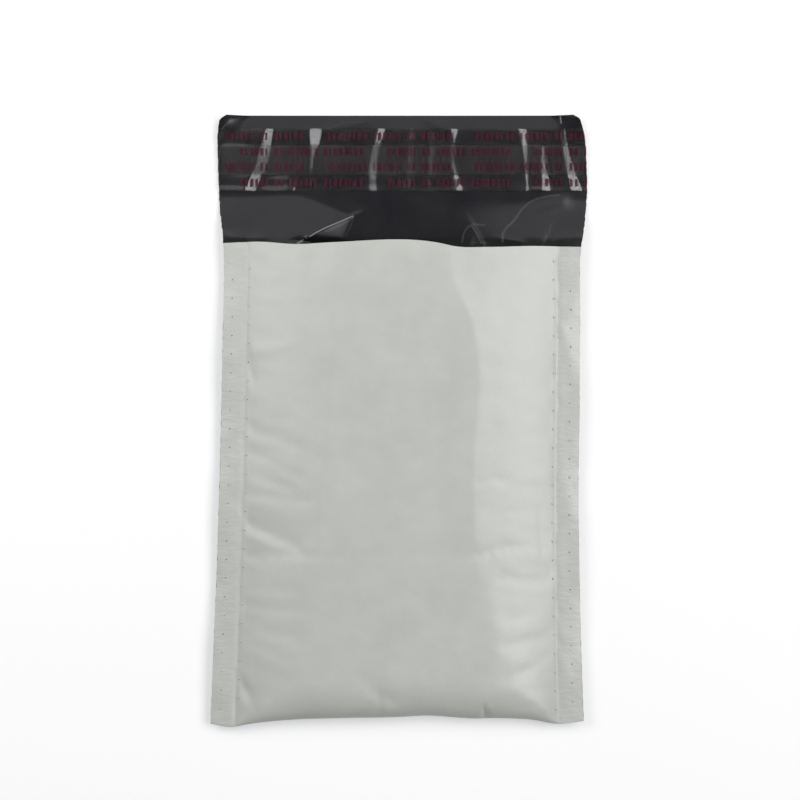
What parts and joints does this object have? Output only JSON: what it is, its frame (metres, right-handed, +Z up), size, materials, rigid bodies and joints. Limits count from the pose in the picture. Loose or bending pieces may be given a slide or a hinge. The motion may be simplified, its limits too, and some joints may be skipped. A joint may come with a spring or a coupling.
{
  "type": "padded envelope",
  "caption": "Small padded mailing pouch of two-colour plastic film with a bubble lining, heat-welded pin-holed sides and an open flap with a release strip over its adhesive.",
  "frame": {"origin": "on the table, under the middle of the opened envelope", "axes": "+Y from the pouch to the open flap, +Z up out of the front panel, +X to the right seen from above with the flap away"},
  "size_m": [0.115, 0.1902, 0.0121],
  "materials": {
    "pale_film": "satin, pale grey-green outside and dark grey inside",
    "bubble_film": "clear, thin",
    "adhesive": "glossy hot melt",
    "release_film": "clear with dark red printed bars"
  },
  "bodies": {
    "root": {"outer_film": "pale_film", "bubble_lining": "bubble_film", "adhesive_strip": "adhesive", "release_liner": "release_film"}
  },
  "joints": []
}
